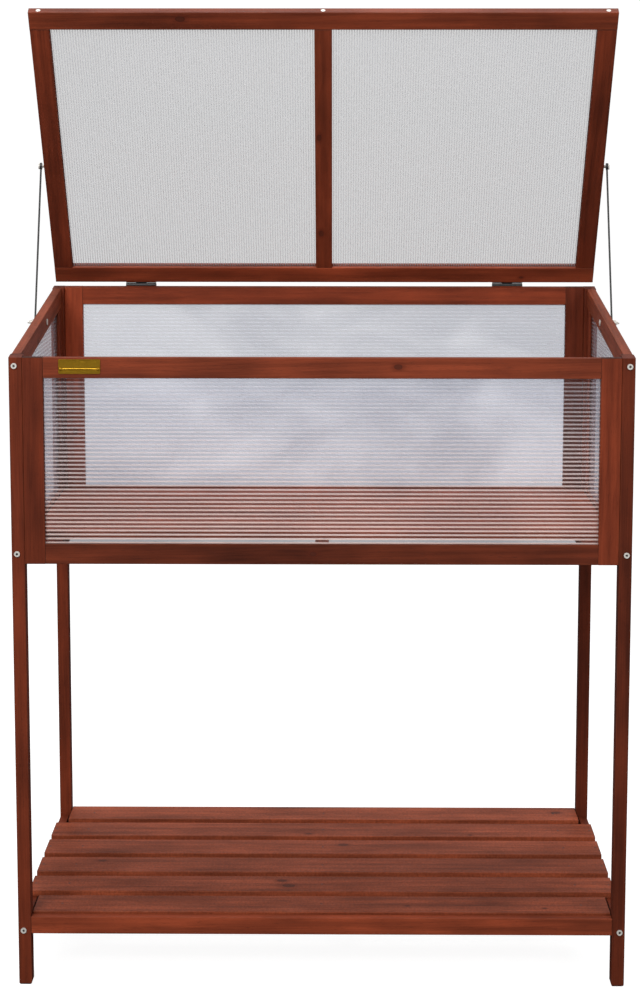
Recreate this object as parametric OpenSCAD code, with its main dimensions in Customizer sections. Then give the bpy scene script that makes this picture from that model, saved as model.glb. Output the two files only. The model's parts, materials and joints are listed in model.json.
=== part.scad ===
// Cold frame on four legs: a glazed box with a sloping top, a hinged glazed lid held
// open by two hooked stays, a boarded floor and a slatted shelf near the ground.
// +X is the right-hand side seen from the front, +Y is the back, +Z is up.
// The origin is the centre of the overall footprint, on the ground. The lid is open.

/* [Overall size] */
// Width over the legs
frame_w = 900; // [760:10:1000]
// Depth over the legs
frame_d = 508; // [460:4:560]
// Height of the front rim above the ground
front_h = 941; // [880:1:1000]
// Height of the rear rim above the ground
rear_h = 1005; // [1001:1:1060]
// Height of the underside of the glazed box
box_z = 639; // [600:1:660]
// Height of the top of the shelf
shelf_z = 109; // [100:1:300]

/* [Timber] */
// Leg width, side to side
leg_w = 19; // [18:1:22]
// Leg depth, front to back
leg_d = 24; // [22:1:28]
// Rounding of the feet
foot_r = 5; // [3:1:6]
// Width of the rails and stiles of every panel
rail_w = 30; // [28:1:34]
// Thickness of the rails and stiles
rail_t = 14; // [13:1:16]
// Rounding of the long edges of the timber
edge_r = 1.2; // [0.6:0.2:2]
// How far the panels sit behind the faces of the legs
panel_inset = 1; // [0.5:0.5:2]

/* [Glazing] */
// Thickness of the twin-wall sheet
sheet_t = 4; // [3:1:6]
// Depth of the groove that holds the sheet
groove_d = 6; // [5:1:7]

/* [Floor] */
// Width of one floor board
board_w = 73; // [60:1:74]
// Thickness of the floor boards
board_t = 10; // [8:1:12]
// Number of floor boards
board_n = 5; // [3:1:5]
// Gap between floor boards
board_gap = 4; // [3:1:6]
// Height of the floor bearers
bearer_h = 18; // [14:1:20]
// Width of the centre bearer
centre_bearer_w = 20; // [16:1:26]
// Distance of the side bearers from the middle
side_bearer_x = 402; // [360:1:410]

/* [Shelf] */
// Width of one shelf slat
slat_w = 66; // [50:1:72]
// Thickness of the slats
slat_t = 9; // [7:1:12]
// Height of the front and rear shelf rails
shelf_rail_h = 26; // [22:1:30]
// How far the slats stand above the front shelf rail
slat_proud = 3.5; // [2:0.5:5]
// Distance of the side battens from the middle
batten_x = 390; // [340:1:400]

/* [Lid] */
// Width of the lid
lid_w = 894; // [880:2:898]
// Length of the lid, hinge edge to front edge
lid_len = 512; // [500:1:520]
// Width of the middle bar of the lid
mullion_w = 27; // [24:1:32]
// Angle of the open lid above the horizontal
lid_open = 57; // [40:1:65]
// Gap between the closed lid and the rim
lid_gap = 1; // [0.5:0.5:2]

/* [Hinges] */
// Length of one hinge
hinge_len = 50; // [40:2:60]
// Distance of each hinge from the middle
hinge_x = 305; // [250:5:340]
// Radius of the hinge pin
pin_r = 1.5; // [1.2:0.1:1.8]
// Outer radius of the hinge knuckle
knuckle_r = 3.5; // [3.2:0.1:4]
// Thickness of a hinge leaf
leaf_t = 1.8; // [1.5:0.1:2]
// Height of a hinge leaf
leaf_h = 13; // [11:1:13]

/* [Stays] */
// Thickness of the stay rod
rod_d = 3; // [3:0.5:4]
// Distance of the stay pivot from the hinge edge of the lid
stay_pivot = 228; // [210:1:250]
// Distance of the stay bolt behind the front face of the legs
stay_bolt_y = 300; // [280:1:310]
// Radius of the stay bolt and of the pivot screw
stay_bolt_r = 2.5; // [2:0.1:3]
// Distance from wing tip to wing tip of the wing nut
wing_span = 24; // [18:1:28]

/* [Hidden] */
$fn = 48;

// Colours
dark_stain = "#63291a";
mid_stain = "#733a26";
pale_stain = "#80503a";
sheet_white = "#cbcacd";
zinc = "#b9bcbd";
black_steel = "#2c2c2e";
gold = "#c9a55a";

// Small clearances
slack = 0.2;          // around a bolt, a screw and the face of a sheet
run = 0.05;           // between a turning piece and its pin
end_slack = 0.5;      // at the end of a sheet in its groove
glue_gap = 0.02;      // between a side stile and the sloping rail above it

// Fasteners
bolt_r = 2.4;
bolt_head_r = 4.2;
bolt_head_h = 2;
bolt_len = 50;
bolt_key = 2;         // radius over the corners of the key recess
bolt_key_d = 3;       // depth of the key recess
side_screw_r = 1.9;
side_screw_len = 37;
side_head_r = 3.6;
hinge_screw_r = 1.3;
hinge_screw_len = 12;
hinge_head_r = 2.5;
hinge_screw_x = 16;
lid_screw_r = 1.9;
lid_screw_len = 50;
lid_head_r = 3.4;
lid_screw_x = [-(lid_w - rail_w) / 2, 0, (lid_w - rail_w) / 2];
nail_r = 0.9;
nail_len = 20;
nail_head_r = 1.7;
nail_head_h = 0.5;
nail_sink = 0.2;      // how far the head is punched below the surface
hole_spare = 1;       // how far a blind hole runs past the point of its fastener

// Hinge axis, seen from the rear face of the panels and from the slope of the rim
slope = atan((rear_h - front_h) / frame_d);
hinge_out = knuckle_r + leaf_t - 0.1;
hinge_up = lid_gap / 2;

// Depth: the bolt heads stand out in front, the open lid stands out behind
lid_back = -hinge_out * cos(lid_open) + (hinge_up + rail_t) * sin(lid_open);
overall_d = bolt_head_h + frame_d - panel_inset + hinge_out + lid_back;
front_y = bolt_head_h - overall_d / 2;
rear_y = front_y + frame_d;

// Faces and edges of the panels
leg_in = frame_w / 2 - leg_w;
side_out = frame_w / 2 - panel_inset;
side_in = side_out - rail_t;
side_x = (side_out + side_in) / 2;
front_out = front_y + panel_inset;
front_in = front_out + rail_t;
rear_out = rear_y - panel_inset;
rear_in = rear_out - rail_t;
bay_front = front_y + leg_d;
bay_rear = rear_y - leg_d;
box_rail_z = box_z + rail_w;
opening_x = leg_in - rail_w;
sheet_in = groove_d - end_slack;

function rim(y) = front_h + (y - front_y) * (rear_h - front_h) / frame_d;
function below_rim(y, drop) = rim(y) - drop / cos(slope);

// Hinge axis in the frame
axis_y = rear_out + hinge_out;
axis_z = rim(axis_y) + hinge_up / cos(slope);
knuckle_gap = 0.4;
middle_knuckle = hinge_len * 0.36;
outer_knuckle = (hinge_len - middle_knuckle) / 2 - knuckle_gap;
leaf_screw_z = knuckle_r - leaf_t + leaf_h / 2;

// Floor and shelf heights
floor_z = box_rail_z - 2;
bearer_top = floor_z - board_t;
floor_y = bay_rear - 1 - board_n * board_w - (board_n - 1) * board_gap;
floor_x = side_in - 2;
bearer_x = [-side_bearer_x, 0, side_bearer_x];
slat_n = 6;
slat_under = shelf_z - slat_t;
slat_first_y = front_in + end_slack;
slat_pitch = (rear_out - 2 - slat_w - slat_first_y) / (slat_n - 1);
slat_long = frame_w - 4;
slat_short = 2 * leg_in - 2;
shelf_side_z = slat_under - rail_w / 2;
shelf_screw_z = slat_under - 7.5;
batten_w = 20;
batten_h = 18;
battens = [-batten_x, 0, batten_x];

// Bolts run along Y through the legs into the ends of the side rails
front_bolt_z = [shelf_side_z, box_z + rail_w / 2, below_rim(bay_front, rail_w / 2)];
rear_bolt_z = [shelf_side_z, box_z + rail_w / 2, below_rim(bay_rear, rail_w / 2)];
// Screws run along X through the legs into the front and rear panels and shelf rails
side_screw_z = [shelf_screw_z, box_z + 55, front_h - 53];

// Stays: pivot on the lid, bolt on the side rail
stay_x = frame_w / 2 + 1 + rod_d / 2;
pivot_local = [-hinge_out - stay_pivot, hinge_up + rail_t / 2];
pivot_y = axis_y + pivot_local[0] * cos(lid_open) + pivot_local[1] * sin(lid_open);
pivot_z = axis_z - pivot_local[0] * sin(lid_open) + pivot_local[1] * cos(lid_open);
bolt_y = front_y + stay_bolt_y;
bolt_z = below_rim(bolt_y, rail_w / 2);
stay_span = norm([pivot_y - bolt_y, pivot_z - bolt_z]);
hook_r = stay_bolt_r + rod_d / 2 + slack;
rod_len = sqrt(stay_span * stay_span - hook_r * hook_r);
stay_tilt = atan2(pivot_y - bolt_y, pivot_z - bolt_z) + asin(hook_r / stay_span);
eye_r = stay_bolt_r + 3;
hook_turn = 200;
pivot_screw_len = frame_w / 2 - lid_w / 2 + 18;  // measured from the outer face of the legs
pivot_head_h = 2;
stay_play = 0.3;      // on each face of the stay
stay_face = stay_x + rod_d / 2 + stay_play;
nut_hub_r = 4.6;
nut_hub_h = 6;
wing_t = 2;
bolt_end = stay_face + nut_hub_h + 3;
cup_head_h = 1.6;

// Plate on the front rail
plate_w = 60;
plate_h = 21;
plate_x = 348;
plate_t = 0.8;
plate_rim = 1.4;
plate_corner = 2;
plate_lift = 2;       // above the middle of the rail
plate_bead_r = 1.7;
plate_boss_r = 2.7;
plate_bead_z = -3.5;  // from the middle of the plate

// ---- shared shapes ----

module mirrored(side) mirror([side < 0 ? 1 : 0, 0, 0]) children();

// Rectangle with rounded corners, centred
module round_rect(w, h, r) {
    square([w - 2 * r, h], center = true);
    square([w, h - 2 * r], center = true);
    for (x = [-1, 1], y = [-1, 1])
        translate([x * (w / 2 - r), y * (h / 2 - r)]) circle(r, $fn = 24);
}

// Bars with rounded long edges, given by their lowest and highest corners
module bar_x(lo, hi)
    translate([lo[0], (lo[1] + hi[1]) / 2, (lo[2] + hi[2]) / 2])
        rotate([90, 0, 90])
            linear_extrude(hi[0] - lo[0]) round_rect(hi[1] - lo[1], hi[2] - lo[2], edge_r);

module bar_y(lo, hi)
    translate([(lo[0] + hi[0]) / 2, hi[1], (lo[2] + hi[2]) / 2])
        rotate([90, 0, 0])
            linear_extrude(hi[1] - lo[1]) round_rect(hi[0] - lo[0], hi[2] - lo[2], edge_r);

module bar_z(lo, hi)
    translate([(lo[0] + hi[0]) / 2, (lo[1] + hi[1]) / 2, lo[2]])
        linear_extrude(hi[2] - lo[2]) round_rect(hi[0] - lo[0], hi[1] - lo[1], edge_r);

// Block given by its lowest and highest corners
module block(lo, hi) translate(lo) cube(hi - lo);

// A shape drawn in the YZ plane and extruded from x0 to x1
module side_extrude(x0, x1)
    translate([x0, 0, 0]) rotate([90, 0, 90]) linear_extrude(x1 - x0) children();

// Everything under the sloping rim, lowered by drop
module under_rim(drop = 0) {
    y0 = front_y - 20;
    y1 = rear_y + 20;
    side_extrude(-frame_w, frame_w)
        polygon([[y0, -1], [y1, -1], [y1, below_rim(y1, drop)], [y0, below_rim(y0, drop)]]);
}

// Places the lid, drawn flat with its underside at z = 0 and its hinge edge at y = 0
module open_lid()
    translate([0, axis_y, axis_z]) rotate([-lid_open, 0, 0])
        translate([0, -hinge_out, hinge_up]) children();

// Cylinder along Y that starts at y and runs towards the back
module rod_y(x, y, z, r, length)
    translate([x, y, z]) rotate([-90, 0, 0]) cylinder(r = r, h = length);

// Cylinder along X that starts at x and runs towards the middle, for the right side
module rod_in(x, y, z, r, length)
    translate([x, y, z]) rotate([0, -90, 0]) cylinder(r = r, h = length);

// ---- fasteners and the holes they sit in ----

// Countersunk screw that points along +Z, with its head flush at z = 0
module flat_screw(r, head_r, length, grow = 0) {
    cylinder(r = r + grow, h = length);
    cylinder(r1 = head_r + grow, r2 = r + grow, h = head_r - r);
}

module front_bolt_holes()
    for (z = front_bolt_z, x = [-side_x, side_x])
        rod_y(x, front_y - 1, z, bolt_r + slack, bolt_len + 1 + hole_spare);

module rear_bolt_holes()
    for (z = rear_bolt_z, x = [-side_x, side_x])
        rod_y(x, rear_y - bolt_len - hole_spare, z, bolt_r + slack, bolt_len + 1 + hole_spare);

module side_screw_at(side, y, z)
    mirrored(side) translate([frame_w / 2, y, z]) rotate([0, -90, 0]) children();

module side_screw_holes()
    for (side = [-1, 1], y = [front_out + rail_t / 2, rear_out - rail_t / 2], z = side_screw_z)
        side_screw_at(side, y, z)
            flat_screw(side_screw_r, side_head_r, side_screw_len + hole_spare, slack);

module lid_screw_at(x, front)
    translate([x, front ? -lid_len : 0, rail_t / 2]) rotate([front ? -90 : 90, 0, 0]) children();

module lid_screw_holes()
    for (x = lid_screw_x, front = [true, false])
        lid_screw_at(x, front)
            flat_screw(lid_screw_r, lid_head_r, lid_screw_len + hole_spare, slack);

// Nail that points down, with its head flush at z = 0
module nail(grow = 0, spare = 0) {
    translate([0, 0, -nail_len - spare])
        cylinder(r = nail_r + grow, h = nail_len + spare, $fn = 24);
    translate([0, 0, -nail_head_h]) cylinder(r = nail_head_r + grow, h = nail_head_h, $fn = 24);
}

module nails(xs, y, z) for (x = xs) translate([x, y, z - nail_sink]) nail();

module nail_holes(xs, y, z)
    for (x = xs) translate([x, y, z - nail_sink]) {
        nail(slack, hole_spare);
        cylinder(r = nail_head_r + slack, h = 2 * nail_sink, $fn = 24);
    }

// ---- legs ----

module foot_profile(w) {
    translate([-w / 2, foot_r]) square([w, rear_h]);
    translate([-w / 2 + foot_r, 0]) square([w - 2 * foot_r, foot_r + 1]);
    for (x = [-1, 1]) translate([x * (w / 2 - foot_r), foot_r]) circle(foot_r);
}

module leg(side, y0) {
    x0 = side > 0 ? leg_in : -frame_w / 2;
    color(dark_stain)
        difference() {
            intersection() {
                bar_z([x0, y0, -1], [x0 + leg_w, y0 + leg_d, rear_h + 10]);
                under_rim();
                translate([x0 + leg_w / 2, y0 + leg_d + 1, 0])
                    rotate([90, 0, 0]) linear_extrude(leg_d + 2) foot_profile(leg_w);
                side_extrude(x0 - 1, x0 + leg_w + 1)
                    translate([y0 + leg_d / 2, 0]) foot_profile(leg_d);
            }
            front_bolt_holes();
            rear_bolt_holes();
            side_screw_holes();
        }
}

module front_left_leg() leg(-1, front_y);
module front_right_leg() leg(1, front_y);
module rear_left_leg() leg(-1, bay_rear);
module rear_right_leg() leg(1, bay_rear);

// ---- front and rear panels ----

// Sheet in a panel whose outer face is at y0, with its opening's top edge at z1
module flat_sheet(y0, z1, grow_t = 0, grow_in = 0)
    block([-opening_x - sheet_in - grow_in,
           y0 + (rail_t - sheet_t) / 2 - grow_t,
           box_rail_z - sheet_in - grow_in],
          [opening_x + sheet_in + grow_in,
           y0 + (rail_t + sheet_t) / 2 + grow_t,
           z1 + sheet_in + grow_in]);

module front_sheet(grow_t = 0, grow_in = 0)
    flat_sheet(front_out, front_h - rail_w, grow_t, grow_in);

module rear_sheet(grow_t = 0, grow_in = 0)
    flat_sheet(rear_in, rear_h - rail_w, grow_t, grow_in);

module front_rail(z0)
    color(mid_stain) difference() {
        bar_x([-opening_x, front_out, z0], [opening_x, front_in, z0 + rail_w]);
        front_sheet(slack, end_slack);
    }

module front_stile(side)
    color(dark_stain) mirrored(side) difference() {
        bar_z([opening_x, front_out, box_z], [leg_in, front_in, front_h]);
        front_sheet(slack, end_slack);
        side_screw_holes();
    }

module front_top_rail() front_rail(front_h - rail_w);
module front_bottom_rail() front_rail(box_z);
module front_left_stile() front_stile(-1);
module front_right_stile() front_stile(1);
module front_glazing() color(sheet_white, 0.7) front_sheet();

module rear_stile(side)
    color(dark_stain) mirrored(side) difference() {
        intersection() {
            bar_z([opening_x, rear_in, box_z], [leg_in, rear_out, rear_h]);
            under_rim();
        }
        rear_sheet(slack, end_slack);
        side_screw_holes();
    }

module rear_top_rail()
    color(dark_stain) difference() {
        intersection() {
            bar_x([-opening_x, rear_in, rear_h - rail_w], [opening_x, rear_out, rear_h]);
            under_rim();
        }
        rear_sheet(slack, end_slack);
        hinge_screws_frame(slack);
    }

module rear_bottom_rail()
    color(mid_stain) difference() {
        bar_x([-opening_x, rear_in, box_z], [opening_x, rear_out, box_rail_z]);
        rear_sheet(slack, end_slack);
    }

module rear_left_stile() rear_stile(-1);
module rear_right_stile() rear_stile(1);
module rear_glazing() color(sheet_white, 0.7) rear_sheet();

// ---- side panels ----

module side_sheet(grow_t = 0, grow_in = 0) {
    y0 = bay_front + rail_w - sheet_in - grow_in;
    y1 = bay_rear - rail_w + sheet_in + grow_in;
    z0 = box_rail_z - sheet_in - grow_in;
    drop = rail_w - sheet_in - grow_in;
    side_extrude(side_x - sheet_t / 2 - grow_t, side_x + sheet_t / 2 + grow_t)
        polygon([[y0, z0], [y1, z0], [y1, below_rim(y1, drop)], [y0, below_rim(y0, drop)]]);
}

module side_top_rail(side) {
    mid_y = (front_y + rear_y) / 2;
    color(pale_stain) mirrored(side) difference() {
        intersection() {
            translate([0, mid_y, rim(mid_y)]) rotate([slope, 0, 0])
                bar_y([side_in, -frame_d, -rail_w], [side_out, frame_d, 0]);
            block([0, bay_front, 0], [frame_w, bay_rear, rear_h + 10]);
        }
        side_sheet(slack, end_slack);
        front_bolt_holes();
        rear_bolt_holes();
        rod_in(side_out + 1, bolt_y, bolt_z, stay_bolt_r + slack, rail_t + 2);
    }
}

module side_bottom_rail(side)
    color(mid_stain) mirrored(side) difference() {
        bar_y([side_in, bay_front, box_z], [side_out, bay_rear, box_rail_z]);
        side_sheet(slack, end_slack);
        front_bolt_holes();
        rear_bolt_holes();
    }

module side_stile(side, y0)
    color(dark_stain) mirrored(side) difference() {
        intersection() {
            bar_z([side_in, y0, box_rail_z], [side_out, y0 + rail_w, rear_h]);
            under_rim(rail_w + glue_gap);
        }
        side_sheet(slack, end_slack);
    }

module left_top_rail() side_top_rail(-1);
module left_bottom_rail() side_bottom_rail(-1);
module left_front_stile() side_stile(-1, bay_front);
module left_rear_stile() side_stile(-1, bay_rear - rail_w);
module left_glazing() color(sheet_white, 0.7) mirrored(-1) side_sheet();
module right_top_rail() side_top_rail(1);
module right_bottom_rail() side_bottom_rail(1);
module right_front_stile() side_stile(1, bay_front);
module right_rear_stile() side_stile(1, bay_rear - rail_w);
module right_glazing() color(sheet_white, 0.7) mirrored(1) side_sheet();

// ---- floor ----

function board_y(i) = floor_y + i * (board_w + board_gap);
function board_mid(i) = board_y(i) + board_w / 2;

module floor_nail_holes()
    for (i = [0 : board_n - 1]) nail_holes(bearer_x, board_mid(i), floor_z);

module floor_bearers()
    color(dark_stain) difference() {
        for (x = bearer_x) {
            w = x == 0 ? centre_bearer_w : rail_w;
            bar_y([x - w / 2, front_in, bearer_top - bearer_h],
                  [x + w / 2, rear_in, bearer_top]);
        }
        floor_nail_holes();
    }

module floor_boards()
    color(mid_stain) difference() {
        for (i = [0 : board_n - 1])
            bar_x([-floor_x, board_y(i), bearer_top], [floor_x, board_y(i) + board_w, floor_z]);
        floor_nail_holes();
    }

// ---- shelf ----

// Slat 0 is at the front and is cut short between the legs, as the last one is
function slat_y(i) = slat_first_y + i * slat_pitch;
function slat_is_short(i) = i == 0 || i == slat_n - 1;
function slat_nails(i) = slat_is_short(i) ? battens : concat(battens, [-side_x, side_x]);

module shelf_nail_holes()
    for (i = [0 : slat_n - 1]) nail_holes(slat_nails(i), slat_y(i) + slat_w / 2, shelf_z);

module shelf_slat(i) {
    half = (slat_is_short(i) ? slat_short : slat_long) / 2;
    color(pale_stain) difference() {
        bar_x([-half, slat_y(i), slat_under], [half, slat_y(i) + slat_w, shelf_z]);
        shelf_nail_holes();
    }
}

module shelf_side_rail(side)
    color(dark_stain) mirrored(side) difference() {
        bar_y([side_in, bay_front, slat_under - rail_w], [side_out, bay_rear, slat_under]);
        front_bolt_holes();
        rear_bolt_holes();
        shelf_nail_holes();
    }

module shelf_cross_rail(y0, top)
    color(mid_stain) difference() {
        bar_x([-leg_in, y0, top - shelf_rail_h], [leg_in, y0 + rail_t, top]);
        side_screw_holes();
        shelf_nail_holes();
    }

module shelf_left_rail() shelf_side_rail(-1);
module shelf_right_rail() shelf_side_rail(1);
module shelf_front_rail() shelf_cross_rail(front_out, shelf_z - slat_proud);
module shelf_rear_rail() shelf_cross_rail(rear_in, slat_under);

module shelf_battens()
    color(dark_stain) difference() {
        for (x = battens)
            bar_y([x - batten_w / 2, front_in, slat_under - batten_h],
                  [x + batten_w / 2, rear_in, slat_under]);
        shelf_nail_holes();
    }

module shelf_slat_1() shelf_slat(0);
module shelf_slat_2() shelf_slat(1);
module shelf_slat_3() shelf_slat(2);
module shelf_slat_4() shelf_slat(3);
module shelf_slat_5() shelf_slat(4);
module shelf_slat_6() shelf_slat(5);

// ---- lid, drawn flat with its hinge edge at y = 0 ----

// Sheet on the right-hand half of the lid
module lid_sheet(grow_t = 0, grow_in = 0)
    block([mullion_w / 2 - sheet_in - grow_in,
           -lid_len + rail_w - sheet_in - grow_in,
           (rail_t - sheet_t) / 2 - grow_t],
          [lid_w / 2 - rail_w + sheet_in + grow_in,
           -rail_w + sheet_in + grow_in,
           (rail_t + sheet_t) / 2 + grow_t]);

module lid_grooves()
    for (side = [-1, 1]) mirrored(side) lid_sheet(slack, end_slack);

module lid_rail(y0)
    difference() {
        bar_x([-lid_w / 2, y0, 0], [lid_w / 2, y0 + rail_w, rail_t]);
        lid_grooves();
        lid_screw_holes();
    }

module lid_bar(x0, x1)
    difference() {
        bar_y([x0, rail_w - lid_len, 0], [x1, -rail_w, rail_t]);
        lid_grooves();
        lid_screw_holes();
    }

module lid_front_rail() color(mid_stain) open_lid() lid_rail(-lid_len);

module lid_rear_rail()
    color(mid_stain) difference() {
        open_lid() lid_rail(-rail_w);
        hinge_screws_lid(slack);
    }

module lid_stile(side)
    color(dark_stain) mirrored(side) difference() {
        open_lid() lid_bar(lid_w / 2 - rail_w, lid_w / 2);
        rod_in(frame_w / 2, pivot_y, pivot_z, stay_bolt_r + slack, pivot_screw_len + hole_spare);
    }

module lid_left_stile() lid_stile(-1);
module lid_right_stile() lid_stile(1);
module lid_mullion() color(mid_stain) open_lid() lid_bar(-mullion_w / 2, mullion_w / 2);
module lid_left_glazing() color(sheet_white, 0.7) mirrored(-1) open_lid() lid_sheet();
module lid_right_glazing() color(sheet_white, 0.7) mirrored(1) open_lid() lid_sheet();

// ---- hinges, drawn about their axis at the origin ----

module knuckle(x, length)
    translate([x, 0, 0]) rotate([0, 90, 0]) cylinder(r = knuckle_r, h = length);

// A leaf above the axis: its plate lies on the face at y = -hinge_out
module hinge_leaf_shape(knuckles) {
    inner = knuckle_r - leaf_t;
    difference() {
        union() {
            block([-hinge_len / 2, -hinge_out, inner],
                  [hinge_len / 2, -hinge_out + leaf_t, inner + leaf_h - 1]);
            for (k = knuckles) {
                knuckle(k[0], k[1]);
                block([k[0], -hinge_out, inner], [k[0] + k[1], 0, knuckle_r]);
            }
        }
        translate([-hinge_len, 0, 0]) rotate([0, 90, 0])
            cylinder(r = pin_r + run, h = 2 * hinge_len);
    }
}

module at_hinges()
    for (side = [-1, 1]) translate([side * hinge_x, axis_y, axis_z]) children();

// Countersunk screws through a leaf above the axis, pointing towards -Y
module leaf_screws(grow)
    for (x = [-hinge_screw_x, hinge_screw_x])
        translate([x, -hinge_out + leaf_t, leaf_screw_z]) rotate([90, 0, 0])
            flat_screw(hinge_screw_r, hinge_head_r, hinge_screw_len + (grow > 0 ? hole_spare : 0),
                       grow);

// The frame leaf hangs below the axis
module hinge_screws_frame(grow = 0) at_hinges() mirror([0, 0, 1]) leaf_screws(grow);
module hinge_screws_lid(grow = 0) at_hinges() rotate([-lid_open, 0, 0]) leaf_screws(grow);

module hinge_frame_leaves()
    color(black_steel) difference() {
        at_hinges() mirror([0, 0, 1])
            hinge_leaf_shape([[-hinge_len / 2, outer_knuckle],
                              [hinge_len / 2 - outer_knuckle, outer_knuckle]]);
        hinge_screws_frame(slack);
    }

module hinge_lid_leaves()
    color(black_steel) difference() {
        at_hinges() rotate([-lid_open, 0, 0])
            hinge_leaf_shape([[-middle_knuckle / 2, middle_knuckle]]);
        hinge_screws_lid(slack);
    }

module hinge_pins()
    color(zinc) at_hinges() rotate([0, 90, 0])
        cylinder(r = pin_r, h = hinge_len + 1, center = true);

module hinge_frame_screws() color(zinc) hinge_screws_frame();
module hinge_lid_screws() color(zinc) hinge_screws_lid();

// ---- stays ----

// Rod that hangs from its eye at the origin, with its hook round a bolt at its foot
module stay_shape() {
    difference() {
        union() {
            rotate([0, 90, 0]) cylinder(r = eye_r, h = rod_d, center = true);
            translate([0, 0, -rod_len]) cylinder(r = rod_d / 2, h = rod_len - stay_bolt_r - 1);
        }
        rotate([0, 90, 0]) cylinder(r = stay_bolt_r + run, h = 2 * rod_d, center = true);
    }
    translate([0, hook_r, -rod_len]) rotate([0, 90, 0]) rotate([0, 0, 270])
        rotate_extrude(angle = hook_turn) translate([hook_r, 0]) circle(rod_d / 2);
}

module stay(side)
    color(black_steel) mirrored(side) translate([stay_x, pivot_y, pivot_z])
        rotate([-stay_tilt, 0, 0]) stay_shape();

module left_stay() stay(-1);
module right_stay() stay(1);

// Wings drawn flat: a rounded lobe on a neck
module wing_outline() {
    lobe_r = wing_span * 0.17;
    lobe_x = wing_span / 2 - lobe_r;
    translate([lobe_x, nut_hub_h * 0.9]) circle(lobe_r);
    polygon([[0, 0.6], [nut_hub_r, 0.6], [lobe_x + lobe_r * 0.8, nut_hub_h * 0.5],
             [lobe_x - lobe_r * 0.8, nut_hub_h * 1.3], [0, nut_hub_h * 0.8]]);
}

// The nut turns about X and its wings lie along Y
module wing_nut(side)
    color(zinc) mirrored(side) translate([stay_face, bolt_y, bolt_z]) difference() {
        union() {
            rotate([0, 90, 0]) cylinder(r1 = nut_hub_r, r2 = nut_hub_r - 0.8, h = nut_hub_h);
            for (turn = [0, 180])
                rotate([turn, 0, 0]) rotate([0, 0, 90]) mirror([0, 1, 0])
                    translate([0, 0, -wing_t / 2]) linear_extrude(wing_t) wing_outline();
        }
        translate([-1, 0, 0]) rotate([0, 90, 0])
            cylinder(r = stay_bolt_r + run, h = 4 * nut_hub_h);
    }

module left_wing_nut() wing_nut(-1);
module right_wing_nut() wing_nut(1);

// Cup-head bolts through the side rails, with their heads inside the box
module stay_bolts()
    color(zinc) for (side = [-1, 1]) mirrored(side) {
        rod_in(bolt_end, bolt_y, bolt_z, stay_bolt_r, bolt_end - side_in);
        rod_in(side_in, bolt_y, bolt_z, 2 * stay_bolt_r, cup_head_h);
    }

module stay_pivot_screws()
    color(zinc) for (side = [-1, 1]) mirrored(side) {
        rod_in(stay_face, pivot_y, pivot_z, stay_bolt_r,
               stay_face - frame_w / 2 + pivot_screw_len);
        rod_in(stay_face + pivot_head_h, pivot_y, pivot_z, 2 * stay_bolt_r, pivot_head_h);
    }

// ---- bolts, screws and nails ----

// Round-head bolt with a six-sided key recess, pointing towards the back
module key_bolt()
    difference() {
        union() {
            cylinder(r = bolt_r, h = bolt_len);
            translate([0, 0, -bolt_head_h]) cylinder(r = bolt_head_r, h = bolt_head_h);
        }
        translate([0, 0, -bolt_head_h - 1]) cylinder(r = bolt_key, h = bolt_key_d + 1, $fn = 6);
    }

module leg_bolts()
    color(zinc) {
        for (x = [-side_x, side_x]) {
            for (z = front_bolt_z) translate([x, front_y, z]) rotate([-90, 0, 0]) key_bolt();
            for (z = rear_bolt_z) translate([x, rear_y, z]) rotate([90, 0, 0]) key_bolt();
        }
        for (side = [-1, 1], y = [front_out + rail_t / 2, rear_out - rail_t / 2],
             z = side_screw_z)
            side_screw_at(side, y, z) flat_screw(side_screw_r, side_head_r, side_screw_len);
    }

module lid_frame_screws()
    color(zinc) open_lid()
        for (x = lid_screw_x, front = [true, false])
            lid_screw_at(x, front) flat_screw(lid_screw_r, lid_head_r, lid_screw_len);

module deck_nails()
    color(black_steel) {
        for (i = [0 : board_n - 1]) nails(bearer_x, board_mid(i), floor_z);
        for (i = [0 : slat_n - 1]) nails(slat_nails(i), slat_y(i) + slat_w / 2, shelf_z);
    }

// Raised bead across the plate, with a round boss at each end
module plate_bead()
    intersection() {
        union() {
            rotate([0, 90, 0])
                cylinder(r = plate_bead_r, h = plate_w - 2 * plate_boss_r, center = true);
            for (x = [-1, 1]) translate([x * (plate_w / 2 - plate_boss_r), 0, 0])
                sphere(plate_boss_r);
        }
        translate([-plate_w / 2, -plate_boss_r, plate_t / 2])
            cube([plate_w, 2 * plate_boss_r, plate_boss_r]);
    }

// Blank plate with a raised border, on the left of the front top rail
module name_plate()
    color(gold) translate([-plate_x, front_out, front_h - rail_w / 2 + plate_lift]) rotate([90, 0, 0]) {
        linear_extrude(plate_t) round_rect(plate_w, plate_h, plate_corner);
        translate([0, 0, plate_t / 2]) linear_extrude(plate_t) difference() {
            round_rect(plate_w, plate_h, plate_corner);
            round_rect(plate_w - 2 * plate_rim, plate_h - 2 * plate_rim, plate_corner / 2);
        }
        translate([0, plate_bead_z, 0]) plate_bead();
    }

// ---- assembly ----

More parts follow.
